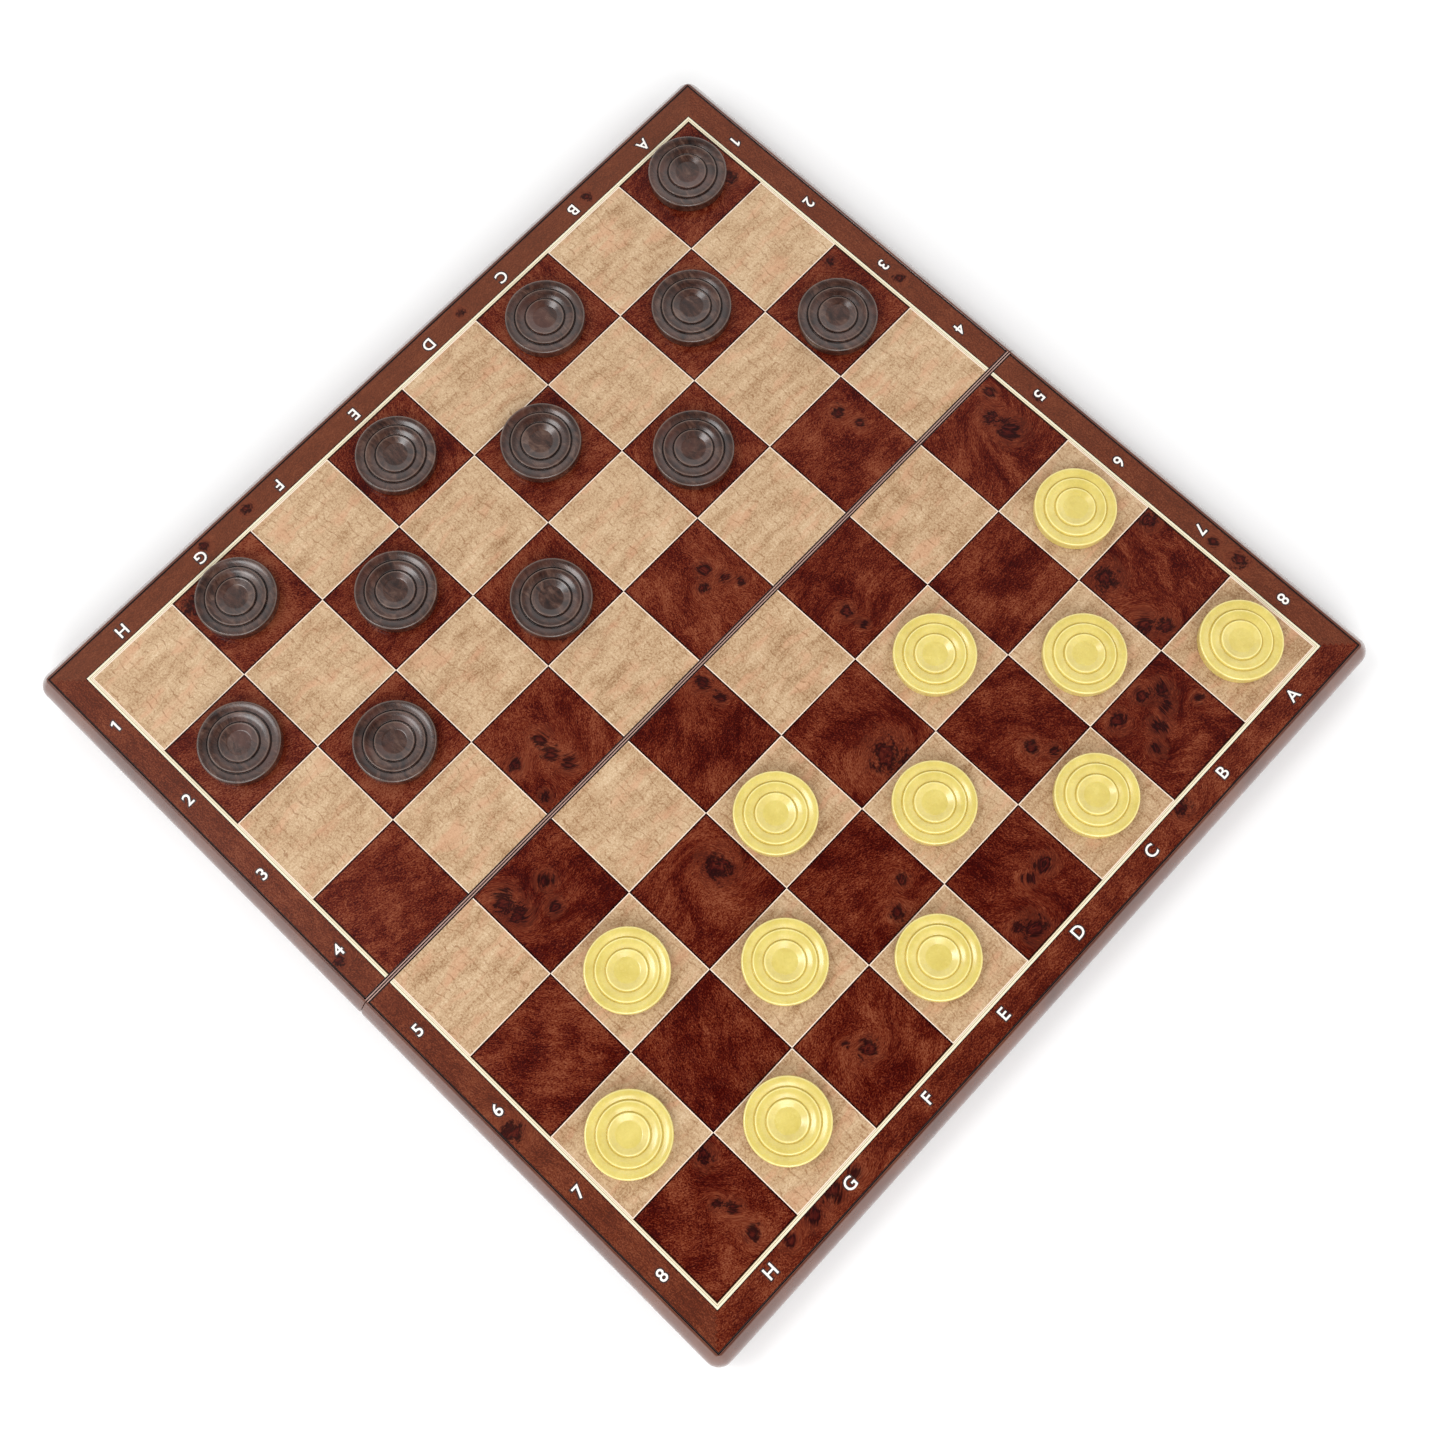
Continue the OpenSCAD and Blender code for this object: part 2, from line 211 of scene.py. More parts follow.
def burlMaterial():
    material, tree, shader = newMaterial("burl veneer")
    place = mapUv(tree, "veneer")
    bent = warp(tree, place, 0.7, 0.8)
    calmHaze = attribute(tree, "calmHaze")
    blotch = noise(tree, bent, 0.75, 3.0, 0.55, 0.25).outputs["Fac"]
    flame = noise(tree, stretch(tree, bent, (0.9, 4.6, 1)), 1.0, 4.0, 0.62, 0.5).outputs["Fac"]
    fibre = noise(tree, stretch(tree, warp(tree, bent, 1.6, 0.35), (5, 24, 1)), 1.0, 4.0, 0.65).outputs["Fac"]
    fleck = noise(tree, stretch(tree, place, (17, 27, 1)), 1.0, 3.0, 0.75).outputs["Fac"]
    pore = cells(tree, stretch(tree, warp(tree, place, 3.0, 0.12), (12, 22, 1)), 1.0)
    # the border's calm veneer, partly painted reflection haze, keeps about a third of the blotches
    broad = calc(tree, "MULTIPLY_ADD", blotch, veneer["blotch"], -veneer["blotch"] / 2)
    broad = calc(tree, "MULTIPLY", broad, fit(tree, calmHaze, 0.0, 1.0, 1.0, 0.35))
    parts = {"flame": flame, "fibre": fibre, "fleck": fleck, "pore": pore}
    depth = mixed(tree, [(part, veneer[name]) for name, part in parts.items()])
    depth = calc(tree, "ADD", depth, broad)
    depth = calc(tree, "MULTIPLY_ADD", calmHaze, -0.01, depth)
    depth = calc(tree, "MULTIPLY_ADD", attribute(tree, "tone"), veneer["burlTone"], depth)
    colour = ramp(tree, depth, veneer["burlStops"])
    # even brown over the border: calm veneer and painted reflection haze
    colour = blend(tree, calc(tree, "MULTIPLY", calmHaze, veneer["calmHazeCover"]), colour, paint(107, 65, 46))
    # a knot is a ragged dark cluster inside a paler rim; its distance is in knot radii
    lobes = noise(tree, place, 4.5, 3.0, 0.6, 0.6).outputs["Fac"]
    ragged = noise(tree, place, 15.0, 4.0, 0.7).outputs["Fac"]
    around = calc(tree, "MULTIPLY_ADD", lobes, 3.4, calc(tree, "ADD", attribute(tree, "knot"), -1.7))
    around = calc(tree, "MULTIPLY_ADD", ragged, 2.2, calc(tree, "ADD", around, -1.1))
    rim = fit(tree, around, 2.0, 2.8, 0.3, 0.0)
    colour = blend(tree, rim, colour, paint(116, 56, 36))
    ringed = calc(tree, "MULTIPLY_ADD", calc(tree, "SINE", calc(tree, "MULTIPLY", around, 5.5)), 0.16, ragged)
    heart = ramp(tree, ringed, veneer["knotStops"])
    colour = blend(tree, fit(tree, around, 0.7, 1.9, 0.9, 0.0), colour, heart)
    line = calc(tree, "MULTIPLY", edgeLine(tree, veneer["darkLine"]), 0.92)
    colour = blend(tree, line, colour, veneer["darkLineColour"])
    link(tree, colour, shader, "Base Color")
    panelFinish(tree, shader, place)
    return material


def mapleMaterial():
    material, tree, shader = newMaterial("curly maple veneer")
    place = mapUv(tree, "veneer")
    bent = warp(tree, place, 0.8, 0.45)
    curl = noise(tree, stretch(tree, bent, (3.2, 0.7, 1)), 1.0, 3.0, 0.55, 0.3).outputs["Fac"]
    cloud = noise(tree, bent, 0.9, 3.0).outputs["Fac"]
    sand = noise(tree, stretch(tree, place, (15, 13, 1)), 1.0, 4.0, 0.85).outputs["Fac"]
    depth = mixed(tree, [(curl, veneer["curl"]), (cloud, veneer["cloud"]), (sand, veneer["sand"])])
    depth = calc(tree, "MULTIPLY_ADD", attribute(tree, "tone"), veneer["mapleTone"], depth)
    colour = ramp(tree, depth, veneer["mapleStops"])
    blush = noise(tree, stretch(tree, bent, (2.0, 0.6, 1)), 1.0, 3.0).outputs["Fac"]
    colour = blend(tree, fit(tree, blush, 0.5, 0.7, 0.0, 0.55), colour, paint(202, 152, 120))
    # thin broken ripple lines along X, sin(2 pi v / spacing) of a place that wanders
    wander = warp(tree, warp(tree, place, 1.1, 0.75), 6.0, 0.16)
    height = addNode(tree, "ShaderNodeSeparateXYZ", {0: wander}).outputs["Y"]
    wave = calc(tree, "SINE", calc(tree, "MULTIPLY", height, 2 * math.pi / veneer["rippleSpacing"]))
    gaps = noise(tree, stretch(tree, place, (3.2, 6, 1)), 1.0, 4.0, 0.75).outputs["Fac"]
    mark = calc(tree, "MULTIPLY", fit(tree, wave, 0.8, 0.99), fit(tree, gaps, 0.43, 0.6, 0.0, 0.7))
    colour = blend(tree, mark, colour, paint(142, 102, 69))
    line = calc(tree, "MULTIPLY", edgeLine(tree, veneer["paleLine"]), 0.9)
    colour = blend(tree, line, colour, veneer["paleLineColour"])
    link(tree, colour, shader, "Base Color")
    panelFinish(tree, shader, place)
    return material


def printedLine(name, colour, shade):
    # flat ink with a little uneven cover
    material, tree, shader = newMaterial(name)
    place = mapUv(tree, "veneer")
    cover = noise(tree, place, 22.0, 3.0, 0.7).outputs["Fac"]
    link(tree, ramp(tree, cover, [(0.3, shade), (0.6, colour)]), shader, "Base Color")
    panelFinish(tree, shader, place)
    return material


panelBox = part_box("panel_high")
board = {
    "border": 10.4 * mm,           # from the outermost squares to the panel's edge
    "creamStart": 0.14 * mm,       # tan hairline between the squares and the cream line
    "tanStart": 0.5 * mm,          # second tan hairline, inside the cream line
    "tanEnd": 0.68 * mm,
    "creamEnd": 1.36 * mm,         # outer side of the cream line
    "inkEnd": 1.64 * mm,           # outer side of the dark hairline round it
    "edgeShade": 0.16 * mm,           # width of the painted shade along the panel's cut edge, for the gap round it
    "fineness": 1.5 * mm,          # size of the panel's mesh faces
    "edgeRound": 0.2 * mm,         # rounding of the panel's upper edge
    "twist": 1.5,                  # how far figure turns round a knot, in radians
    "twistReach": 3.2,             # how far from the knot it turns, in knot radii
    "pull": 0.45,                  # how much the figure is drawn out round a knot
    "pullReach": 2.2,
    "farFromKnots": 6.0,           # knot radii past which no knot shows
    "highLessHaze": -1.2,              # how much darker ranks 5 to 8 are painted, as they lack the low half's painted reflection haze
    "lowHaze": 0.9,                # how much paler the dark squares of ranks 1 to 4 are painted, as reflection haze
    "calmHazeSides": [0.8, 0.55, 0.1, 1.0],   # evenness of the border's veneer at +Y, -Y, +X and -X, which also paints the reflection haze on those sides
    "seed": 11,
}
fieldX = panelBox[1].x - board["border"]
fieldY = panelBox[1].y - board["border"]
squareSize = fieldY / 4
middleLine = fieldX - 4 * squareSize
panelTop = panelBox[1].z
squareCount = 64               # cuts of veneer with these numbers are squares
cutCount = squareCount + 4     # and the last four are the border's sides
burl, maple, darkInk, creamInk, core, tanInk = range(6)     # places of the finishes on a panel

# knots by square: across and up from its middle in squares, and radius in mm
knots = {
    "a5": [(-0.21, 0.18, 2.4), (0.02, 0.2, 3.2), (-0.37, 0.35, 1.6)],
    "b4": [(-0.27, 0.21, 1.8), (-0.04, 0.27, 1.4)],
    "d4": [(-0.1, 0.16, 1.9), (0.09, 0.25, 1.5), (0.02, 0.04, 1.5), (0.23, 0.33, 1.2)],
    "f4": [(-0.06, -0.05, 2.2), (0.11, -0.08, 2), (0.29, -0.03, 2), (-0.04, -0.37, 2), (0.36, -0.4, 1.5)],
    "c5": [(0.13, -0.22, 1.8), (0.33, -0.19, 1.2)],
    "e5": [(-0.37, 0.36, 2.2), (-0.16, 0.38, 1.6)],
    "g5": [(-0.12, 0.06, 1.9), (0.1, -0.05, 1.7), (-0.25, -0.34, 3), (-0.08, -0.33, 2.6)],
    "d6": [(0.34, 0.03, 4.2)],
    "f6": [(-0.09, 0.22, 3.6)],
    "a7": [(-0.41, 0.4, 2.2), (-0.32, -0.32, 3.4), (0.23, -0.41, 2.6), (0.38, -0.29, 2.2)],
    "c7": [(0.23, -0.02, 1.8), (0.41, 0.1, 1.5)],
    "e7": [(0.2, 0.26, 1.6), (0.38, 0.02, 2)],
    "b8": [(-0.26, 0.21, 2.2), (-0.12, 0.12, 1.8), (-0.05, -0.06, 2.2), (-0.36, 0.05, 1.8),
           (-0.35, -0.29, 2.2), (0.07, -0.24, 1.7), (0.04, 0.39, 1.4)],
    "d8": [(0.03, 0.25, 2.2), (0.02, 0.06, 1.5), (0.35, -0.25, 3), (0.23, -0.35, 1.5)],
    "f8": [(-0.01, -0.05, 2.4), (-0.18, -0.15, 1)],
    "h8": [(-0.41, 0.31, 2), (0.06, 0.16, 1.7), (-0.06, 0.09, 1.4), (0.32, 0.13, 1.9)],
    "a1": [(0.24, 0.33, 2.2)],
    "g1": [(-0.34, -0.37, 2.6)],
    "a3": [(-0.41, 0.32, 1.7)],
    "e3": [(0.38, -0.2, 1.7)],
}
# knots in the border: place from the board's middle in squares, and radius in mm
borderKnots = [
    (2.96, 4.18, 2.4), (2.67, 4.16, 1.6), (0.51, 4.15, 1.7), (-1.3, 4.16, 1.4), (4.13, -2.4, 2),
    (4.09, -2.66, 2.6), (4.12, -2.9, 2.2), (4.1, -3.2, 1.9), (4.09, 2, 2.4), (1.74, -4.22, 2.8),
    (-0.43, -4.22, 1.5), (-4.17, 2.7, 1.5), (-4.18, 0.95, 1.3), (-4.2, -1.87, 1.5), (-4.22, -2.4, 1.5),
]


def squareMiddle(name):
    # file A lies at +Y and rank 1 at -X; the two inner ranks stand middleLine off the hinge
    column, rank = "abcdefgh".index(name[0]), int(name[1])
    away = middleLine + (abs(rank - 4.5)) * squareSize
    return np.array([math.copysign(away, rank - 4.5), (3.5 - column) * squareSize])


def knotTable():
    # one row for each knot: its region, its x and y and its radius, in metres
    rows = []
    for name, spots in knots.items():
        region = "abcdefgh".index(name[0]) * 8 + int(name[1]) - 1
        x, y = squareMiddle(name)
        rows += [(region, x + dx * squareSize, y + dy * squareSize, r * mm) for dx, dy, r in spots]
    rows += [(squareCount, x * squareSize, y * squareSize, r * mm) for x, y, r in borderKnots]
    return np.array(rows)


def cutLines(stops, step):
    # every stretch between two stops is cut evenly into parts no longer than about step
    parts = [np.linspace(a, b, max(1, round((b - a) / step)) + 1)[:-1] for a, b in zip(stops, stops[1:])]
    return np.concatenate(parts + [[stops[-1]]])


def meshObject(name, points, faces):
    mesh = bpy.data.meshes.new(name)
    mesh.from_pydata(points.tolist(), [], faces)
    mesh.update()
    made = bpy.data.objects.new(name, mesh)
    scene.collection.objects.link(made)
    return made


def slab(name, xs, ys, low, top, rounding):
    # top: z = top over every x and y. Its rim turns down a quarter circle, out by r sin t and
    # down by r (1 - cos t), drops to z = low, and the underside closes on one middle point
    gridX, gridY = np.meshgrid(xs, ys, indexing="ij")
    count = gridX.size
    index = np.arange(count).reshape(gridX.shape)
    rim = np.concatenate([index[:-1, 0], index[-1, :-1], index[:0:-1, -1], index[0, :0:-1]])
    rimX, rimY = gridX.ravel()[rim], gridY.ravel()[rim]
    outX = np.where(rimX == xs[0], -1, np.where(rimX == xs[-1], 1, 0))
    outY = np.where(rimY == ys[0], -1, np.where(rimY == ys[-1], 1, 0))
    turns = np.radians([30, 60, 90, 90])
    drops = np.append(top - rounding * (1 - np.cos(turns[:3])), low)
    rings = [np.stack([rimX + outX * rounding * math.sin(t), rimY + outY * rounding * math.sin(t),
                       np.full(len(rim), z)], 1) for t, z in zip(turns, drops)]
    middle = [[(xs[0] + xs[-1]) / 2, (ys[0] + ys[-1]) / 2, low]]
    flat = np.stack([gridX.ravel(), gridY.ravel(), np.full(count, top)], 1)
    points = np.concatenate([flat] + rings + [middle])
    topFaces = np.stack([index[:-1, :-1], index[1:, :-1], index[1:, 1:], index[:-1, 1:]], -1).reshape(-1, 4)
    levels = [rim] + [count + k * len(rim) + np.arange(len(rim)) for k in range(len(rings))]
    walls = [np.stack([a, b, np.roll(b, -1), np.roll(a, -1)], 1) for a, b in zip(levels, levels[1:])]
    last = levels[-1]
    fan = np.stack([np.roll(last, -1), last, np.full(len(last), len(points) - 1)], 1)
    faces = topFaces.tolist() + np.concatenate(walls).tolist() + fan.tolist()
    return meshObject(name, points, faces), len(topFaces)


def fillUv(mesh, name, values):
    layer = mesh.uv_layers.new(name=name)
    layer.data.foreach_set("uv", values.astype(np.float32).ravel())


def fillAttribute(mesh, name, domain, values):
    made = mesh.attributes.new(name, "FLOAT", domain)
    made.data.foreach_set("value", values.astype(np.float32))


def figureField(corners, region, table):
    # near a knot the figure turns by twist * exp(-(d / (twistReach r))^2) and is drawn out by
    # pull * exp(-(d / (pullReach r))^2); the knot field is the smallest d / r, held at farFromKnots
    shift = corners[:, None, :] - table[None, :, 1:3]
    reach = np.linalg.norm(shift, axis=2)
    own = np.minimum(region, squareCount)[:, None] == table[None, :, 0]
    share = reach / table[None, :, 3]
    turn = board["twist"] * np.exp(-(share / board["twistReach"]) ** 2)
    pull = 1 - board["pull"] * np.exp(-(share / board["pullReach"]) ** 2)
    turned = np.stack([np.cos(turn) * shift[..., 0] - np.sin(turn) * shift[..., 1],
                       np.sin(turn) * shift[..., 0] + np.cos(turn) * shift[..., 1]], -1)
    moved = np.where(own[..., None], turned * pull[..., None] - shift, 0).sum(1)
    far = board["farFromKnots"]
    nearest = np.where(own, share, far).min(1).clip(0, far)
    return corners + moved, nearest


def layVeneer(piece, topCount, side):
    # a region is one square or one side of the border; each is its own cut of veneer, with its own
    # offset, turn and tone
    mesh = piece.data
    draw = np.random.default_rng(board["seed"])
    offsets = draw.uniform(2, 60, (cutCount, 2))
    turns = draw.uniform(0, 2 * math.pi, cutCount)
    tones = draw.uniform(-1, 1, cutCount)
    # painted reflection: the high half is painted darker than the low half, whose lacquer shows haze
    tones[:squareCount] += np.where(np.arange(squareCount) % 8 > 3, board["highLessHaze"], 0)
    tones[squareCount:] = 0
    loops = len(mesh.loops)
    corners = np.zeros(loops, np.int32)
    mesh.loops.foreach_get("vertex_index", corners)
    places = np.zeros(len(mesh.vertices) * 3, np.float32)
    mesh.vertices.foreach_get("co", places)
    flat = places.reshape(-1, 3)[corners][:, :2].astype(float)
    top = flat[:topCount * 4].reshape(-1, 4, 2)
    middle = top.mean(1)
    steps = np.floor((np.abs(middle[:, 0]) - middleLine) / squareSize)
    rank = np.where(side > 0, 4 + steps, 3 - steps).astype(int)
    column = np.floor((fieldY - middle[:, 1]) / squareSize).astype(int)
    away = np.maximum(np.abs(middle[:, 0]) - fieldX, np.abs(middle[:, 1]) - fieldY)
    inField = away < 0
    alongX = np.abs(middle[:, 1]) - fieldY > np.abs(middle[:, 0]) - fieldX
    border = np.where(alongX, np.where(middle[:, 1] > 0, 0, 1), np.where(middle[:, 0] > 0, 2, 3))
    region = np.where(inField, column * 8 + rank, squareCount + border)
    light = inField & ((column + rank) % 2 == 1)
    kind = np.where(light, maple, burl)
    kind = np.where(~inField & (away < board["inkEnd"]), darkInk, kind)
    kind = np.where(~inField & (away < board["creamEnd"]), creamInk, kind)
    tan = (away < board["creamStart"]) | ((away > board["tanStart"]) & (away < board["tanEnd"]))
    kind = np.where(~inField & tan, tanInk, kind)
    # painted shade: a band along each edge of the panel's top takes the dark hairline ink, for the gap round
    # the panel
    rim = board["edgeRound"] + board["edgeShade"]
    inside = np.abs(middle[:, 0]) - np.abs(flat[:, 0]).min() < board["edgeShade"]
    kind = np.where(inside | (away > board["border"] - rim), darkInk, kind)
    allKinds = np.full(len(mesh.polygons), core)
    allKinds[:topCount] = kind
    mesh.polygons.foreach_set("material_index", allKinds.astype(np.int32))
    regionAtCorner = np.repeat(region, 4)
    bentPlace, nearest = figureField(top.reshape(-1, 2), regionAtCorner, knotTable())
    turn = np.where(light, 0.0, turns[region])
    turn = np.where(inField, turn, np.where(alongX, 0.0, math.pi / 2))
    turn = np.repeat(turn, 4)
    start = np.repeat(offsets[region], 4, 0)
    cut = np.stack([np.cos(turn) * bentPlace[:, 0] - np.sin(turn) * bentPlace[:, 1],
                    np.sin(turn) * bentPlace[:, 0] + np.cos(turn) * bentPlace[:, 1]], 1) / cm + start
    veneerUv = flat / cm
    veneerUv[:len(cut)] = cut
    fillUv(mesh, "veneer", veneerUv)
    across = np.abs(top[..., 0]) - middleLine - steps[:, None] * squareSize
    down = fieldY - top[..., 1] - column[:, None] * squareSize
    own = np.stack([across, down], -1)
    own = np.where(inField[:, None, None], own, squareSize / 2) / cm
    squareUv = np.full((loops, 2), squareSize / 2 / cm)
    squareUv[:len(cut)] = own.reshape(-1, 2)
    fillUv(mesh, "square", squareUv)
    knotValue = np.full(loops, board["farFromKnots"])
    knotValue[:len(cut)] = nearest
    fillAttribute(mesh, "knot", "CORNER", knotValue)
    # each face's tone: its cut's own tone, plus the painted reflection haze on the low half's dark squares
    toneAndHazeValue = np.zeros(len(mesh.polygons))
    toneAndHazeValue[:topCount] = tones[region] + np.where(inField & ~light & (rank < 4), board["lowHaze"], 0)
    fillAttribute(mesh, "tone", "FACE", toneAndHazeValue)
    # each border side's calm: even veneer and painted reflection haze
    calmHazeValue = np.zeros(len(mesh.polygons))
    calmHazeCuts = np.append(np.zeros(squareCount), board["calmHazeSides"])
    calmHazeValue[:topCount] = calmHazeCuts[region]
    fillAttribute(mesh, "calmHaze", "FACE", calmHazeValue)


def coreMaterial():
    # dark resin board at the panel's cut edge; its near-black rounding also paints the shade of the gap round
    # the panel
    material, tree, shader = newMaterial("panel core")
    place = objectPlace(tree)
    speck = noise(tree, place, 2600.0, 3.0, 0.7).outputs["Fac"]
    link(tree, ramp(tree, speck, [(0.35, paint(18, 6, 5)), (0.65, paint(36, 13, 10))]), shader, "Base Color")
    shader.inputs["Roughness"].default_value = 0.5
    return material


def makePanels():
    finishes = [burlMaterial(), mapleMaterial(),
                printedLine("dark hairline", paint(24, 7, 5), paint(18, 4, 3)),
                printedLine("cream line", paint(234, 228, 204), paint(222, 212, 180)), coreMaterial(),
                printedLine("tan hairline", paint(176, 150, 112), paint(150, 122, 88))]
    radius = board["edgeRound"]
    marks = [board[name] for name in ["creamStart", "tanStart", "tanEnd", "creamEnd", "inkEnd"]]
    for half, side in zip(halves, [-1, 1]):
        low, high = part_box("panel_" + half)
        inner = min(abs(low.x), abs(high.x)) + radius
        outer = panelBox[1].x - radius
        ranks = [middleLine + k * squareSize for k in range(1, 5)]
        stopsX = [inner, inner + board["edgeShade"]] + ranks + [fieldX + m for m in marks]
        stopsX = stopsX + [outer - board["edgeShade"], outer]
        halfY = [0] + [k * squareSize for k in range(1, 5)] + [fieldY + m for m in marks]
        halfY = halfY + [panelBox[1].y - radius - board["edgeShade"], panelBox[1].y - radius]
        xs = cutLines(stopsX, board["fineness"])
        ys = cutLines(halfY, board["fineness"])
        ys = np.concatenate([-ys[:0:-1], ys])
        if side < 0:
            xs = -xs[::-1]
        name = "playing_panel_" + half
        piece, topCount = slab(name, xs, ys, low.z, high.z, radius)
        layVeneer(piece, topCount, side)
        for finish in finishes:
            piece.data.materials.append(finish)
        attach(piece, half + "_half")
        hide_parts("panel_" + half)
    print("playing panels laid")


makePanels()


marking = {
    "capHeight": 4.0 * mm,
    "boldness": 0.01,           # how far the strokes grow, in letter heights
    "outline": 0.08,            # the same for the dark outline under them
    "one": [(0.30, 0), (0.30, 0.682), (0.225, 0.682), (0.06, 0.585), (0.06, 0.485),
            (0.202, 0.55), (0.202, 0)],     # outline of the figure 1
    "inkHeight": 0.03 * mm,
    "place": 4.16,              # squares from the board's middle
}


def inkMaterial(name, colour, shade):
    material, tree, shader = newMaterial(name)
    cover = noise(tree, objectPlace(tree), 3000.0, 3.0, 0.7).outputs["Fac"]
    link(tree, ramp(tree, cover, [(0.3, shade), (0.6, colour)]), shader, "Base Color")
    shader.inputs["Roughness"].default_value = 0.4
    return material


def letterMesh(letter, boldness, thickness):
    # the built-in font's one is a bare stroke, so it is drawn with a flag from its own outline
    if letter == "1":
        curve = bpy.data.curves.new("letter", "CURVE")
        curve.dimensions = "2D"
        curve.fill_mode = "BOTH"
        outline = curve.splines.new("POLY")
        outline.points.add(len(marking["one"]) - 1)
        corners = np.array([(x, y, 0, 1) for x, y in marking["one"]], np.float32)
        outline.points.foreach_set("co", corners.ravel())
        outline.use_cyclic_u = True
    else:
        curve = bpy.data.curves.new("letter", "FONT")
        curve.body = letter
        curve.size = 1.0
    curve.offset = boldness
    curve.extrude = thickness
    curve.resolution_u = 4
    holder = bpy.data.objects.new("letter", curve)
    scene.collection.objects.link(holder)
    bpy.context.view_layer.update()
    mesh = bpy.data.meshes.new_from_object(holder.evaluated_get(bpy.context.evaluated_depsgraph_get()))
    bpy.data.objects.remove(holder)
    return mesh


def placedLetter(letter, x, y, up, boldness, capScale, low, thickness, material):
    # the letter's mesh is centred, scaled to the cap height, turned so its top points to up, and set at x, y
    mesh = letterMesh(letter, boldness, 0.5)
    places = np.zeros(len(mesh.vertices) * 3, np.float32)
    mesh.vertices.foreach_get("co", places)
    places = places.reshape(-1, 3).astype(float)
    centre = (places.max(0) + places.min(0)) / 2
    flat = (places[:, :2] - centre[:2]) * capScale
    rise = low + (places[:, 2] + 0.5) * thickness
    turned = np.stack([x + flat[:, 1] * up, y - flat[:, 0] * up, rise], 1)
    mesh.vertices.foreach_set("co", turned.astype(np.float32).ravel())
    mesh.materials.clear()
    mesh.materials.append(material)
    mesh.update()
    piece = bpy.data.objects.new("letter", mesh)
    scene.collection.objects.link(piece)
    return piece


def joinPieces(pieces, name):
    with bpy.context.temp_override(active_object=pieces[0], selected_editable_objects=pieces,
                                   selected_objects=pieces, object=pieces[0]):
        bpy.ops.object.join()
    pieces[0].name = name
    pieces[0].data.name = name
    return pieces[0]


def makeCoordinates():
    white = inkMaterial("white ink", paint(246, 243, 238), paint(232, 226, 218))
    black = inkMaterial("outline ink", paint(44, 12, 9), paint(32, 9, 7))
    plain = letterMesh("H", 0.0, 0.5)
    tall = np.zeros(len(plain.vertices) * 3, np.float32)
    plain.vertices.foreach_get("co", tall)
    capScale = marking["capHeight"] / np.ptp(tall.reshape(-1, 3)[:, 1])
    away = marking["place"] * squareSize
    spots = {"low": [], "high": []}
    for letter in "ABCDEFGH":
        y = squareMiddle(letter.lower() + "1")[1]
        spots["low"].append((letter, -away, y, 1))
        spots["high"].append((letter, away, y, -1))
    for rank in range(1, 9):
        x = squareMiddle("a" + str(rank))[0]
        spots["low" if rank < 5 else "high"] += [(str(rank), x, away, 1), (str(rank), x, -away, -1)]
    thick = marking["inkHeight"]
    for half in halves:
        made = []
        for letter, x, y, up in spots[half]:
            made.append(placedLetter(letter, x, y, up, marking["outline"], capScale,
                                     panelTop - thick / 2, thick, black))
            made.append(placedLetter(letter, x, y, up, marking["boldness"], capScale,
                                     panelTop - thick / 2, 2 * thick, white))
        piece = joinPieces(made, "coordinates_" + half)
        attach(piece, half + "_half")
    print("coordinates printed")


makeCoordinates()


draught = {
    "edgeRound": 0.6 * mm,         # rounding of the upper edge
    "footRound": 0.9 * mm,         # rounding of the lower edge
    "outerRing": 3.45 * mm,        # width of the outer ring
    "middleRing": 3.65 * mm,
    "slope": 2.7 * mm,             # width of the slope down to the flat middle
    "dip": 0.58 * mm,              # fall of a ring's surface towards its groove
    "shoulder": 0.12 * mm,         # the part of that fall over a ring's outer half
    "crown": 5 * mm,               # rounding of a ring's surface
    "grooveWidth": 0.34 * mm,      # from a groove's foot out to the ring's surface
    "grooveDepth": 0.95 * mm,
    "dishDepth": 0.85 * mm,
    "crest": 0.24 * mm,            # rounding of the crest beside a groove
    "root": 0.1 * mm,              # rounding at the foot of a groove
    "ringFoot": 0.2 * mm,          # rounding where a ring's surface turns down to a groove
    "dishRound": 1.2 * mm,         # rounding where the slope meets the flat middle
    "pocketGap": 0.1 * mm,         # room round the magnet
    "pocketRound": 0.1 * mm,       # rounding at the top of the magnet's pocket
    "pocketEdge": 0.15 * mm,       # rounding of the pocket's mouth
    "shadeWidth": 0.36 * mm,       # reach of the painted shade in a groove
    "highlightWidth": 0.22 * mm,        # reach of the painted highlight on a crest
    "standOff": 0.015 * mm,        # hair's breadth between a draught and the lacquer it stands on
    "step": 0.35 * mm,             # longest stretch of the profile without a ring of points
    "turns": 96,
}


def roundedLine(corners, steps=5):
    # a polyline r, z with a radius at each corner: the corner is replaced by the arc that touches
    # both of its sides, cut at radius * tan(half the turn) from the corner
    nearlyStraight = math.radians(89.5)
    points = [corners[0][:2]]
    for before, here, after in zip(corners, corners[1:], corners[2:]):
        corner = np.array(here[:2])
        back = np.array(before[:2]) - corner
        ahead = np.array(after[:2]) - corner
        back = back / np.linalg.norm(back)
        ahead = ahead / np.linalg.norm(ahead)
        inside = math.acos(np.clip(back @ ahead, -1, 1)) / 2
        if here[2] == 0 or inside > nearlyStraight:
            points.append(here[:2])
            continue
        bisector = (back + ahead) / np.linalg.norm(back + ahead)
        centre = corner + bisector * here[2] / math.sin(inside)
        startArm = corner + back * here[2] / math.tan(inside) - centre
        endArm = corner + ahead * here[2] / math.tan(inside) - centre
        shares = np.linspace(0, 1, steps + 1)[:, None]
        sweep = math.pi - 2 * inside
        arms = (np.sin((1 - shares) * sweep) * startArm + np.sin(shares * sweep) * endArm) / math.sin(sweep)
        points += (centre + arms).tolist()
    points.append(corners[-1][:2])
    return np.array(points)


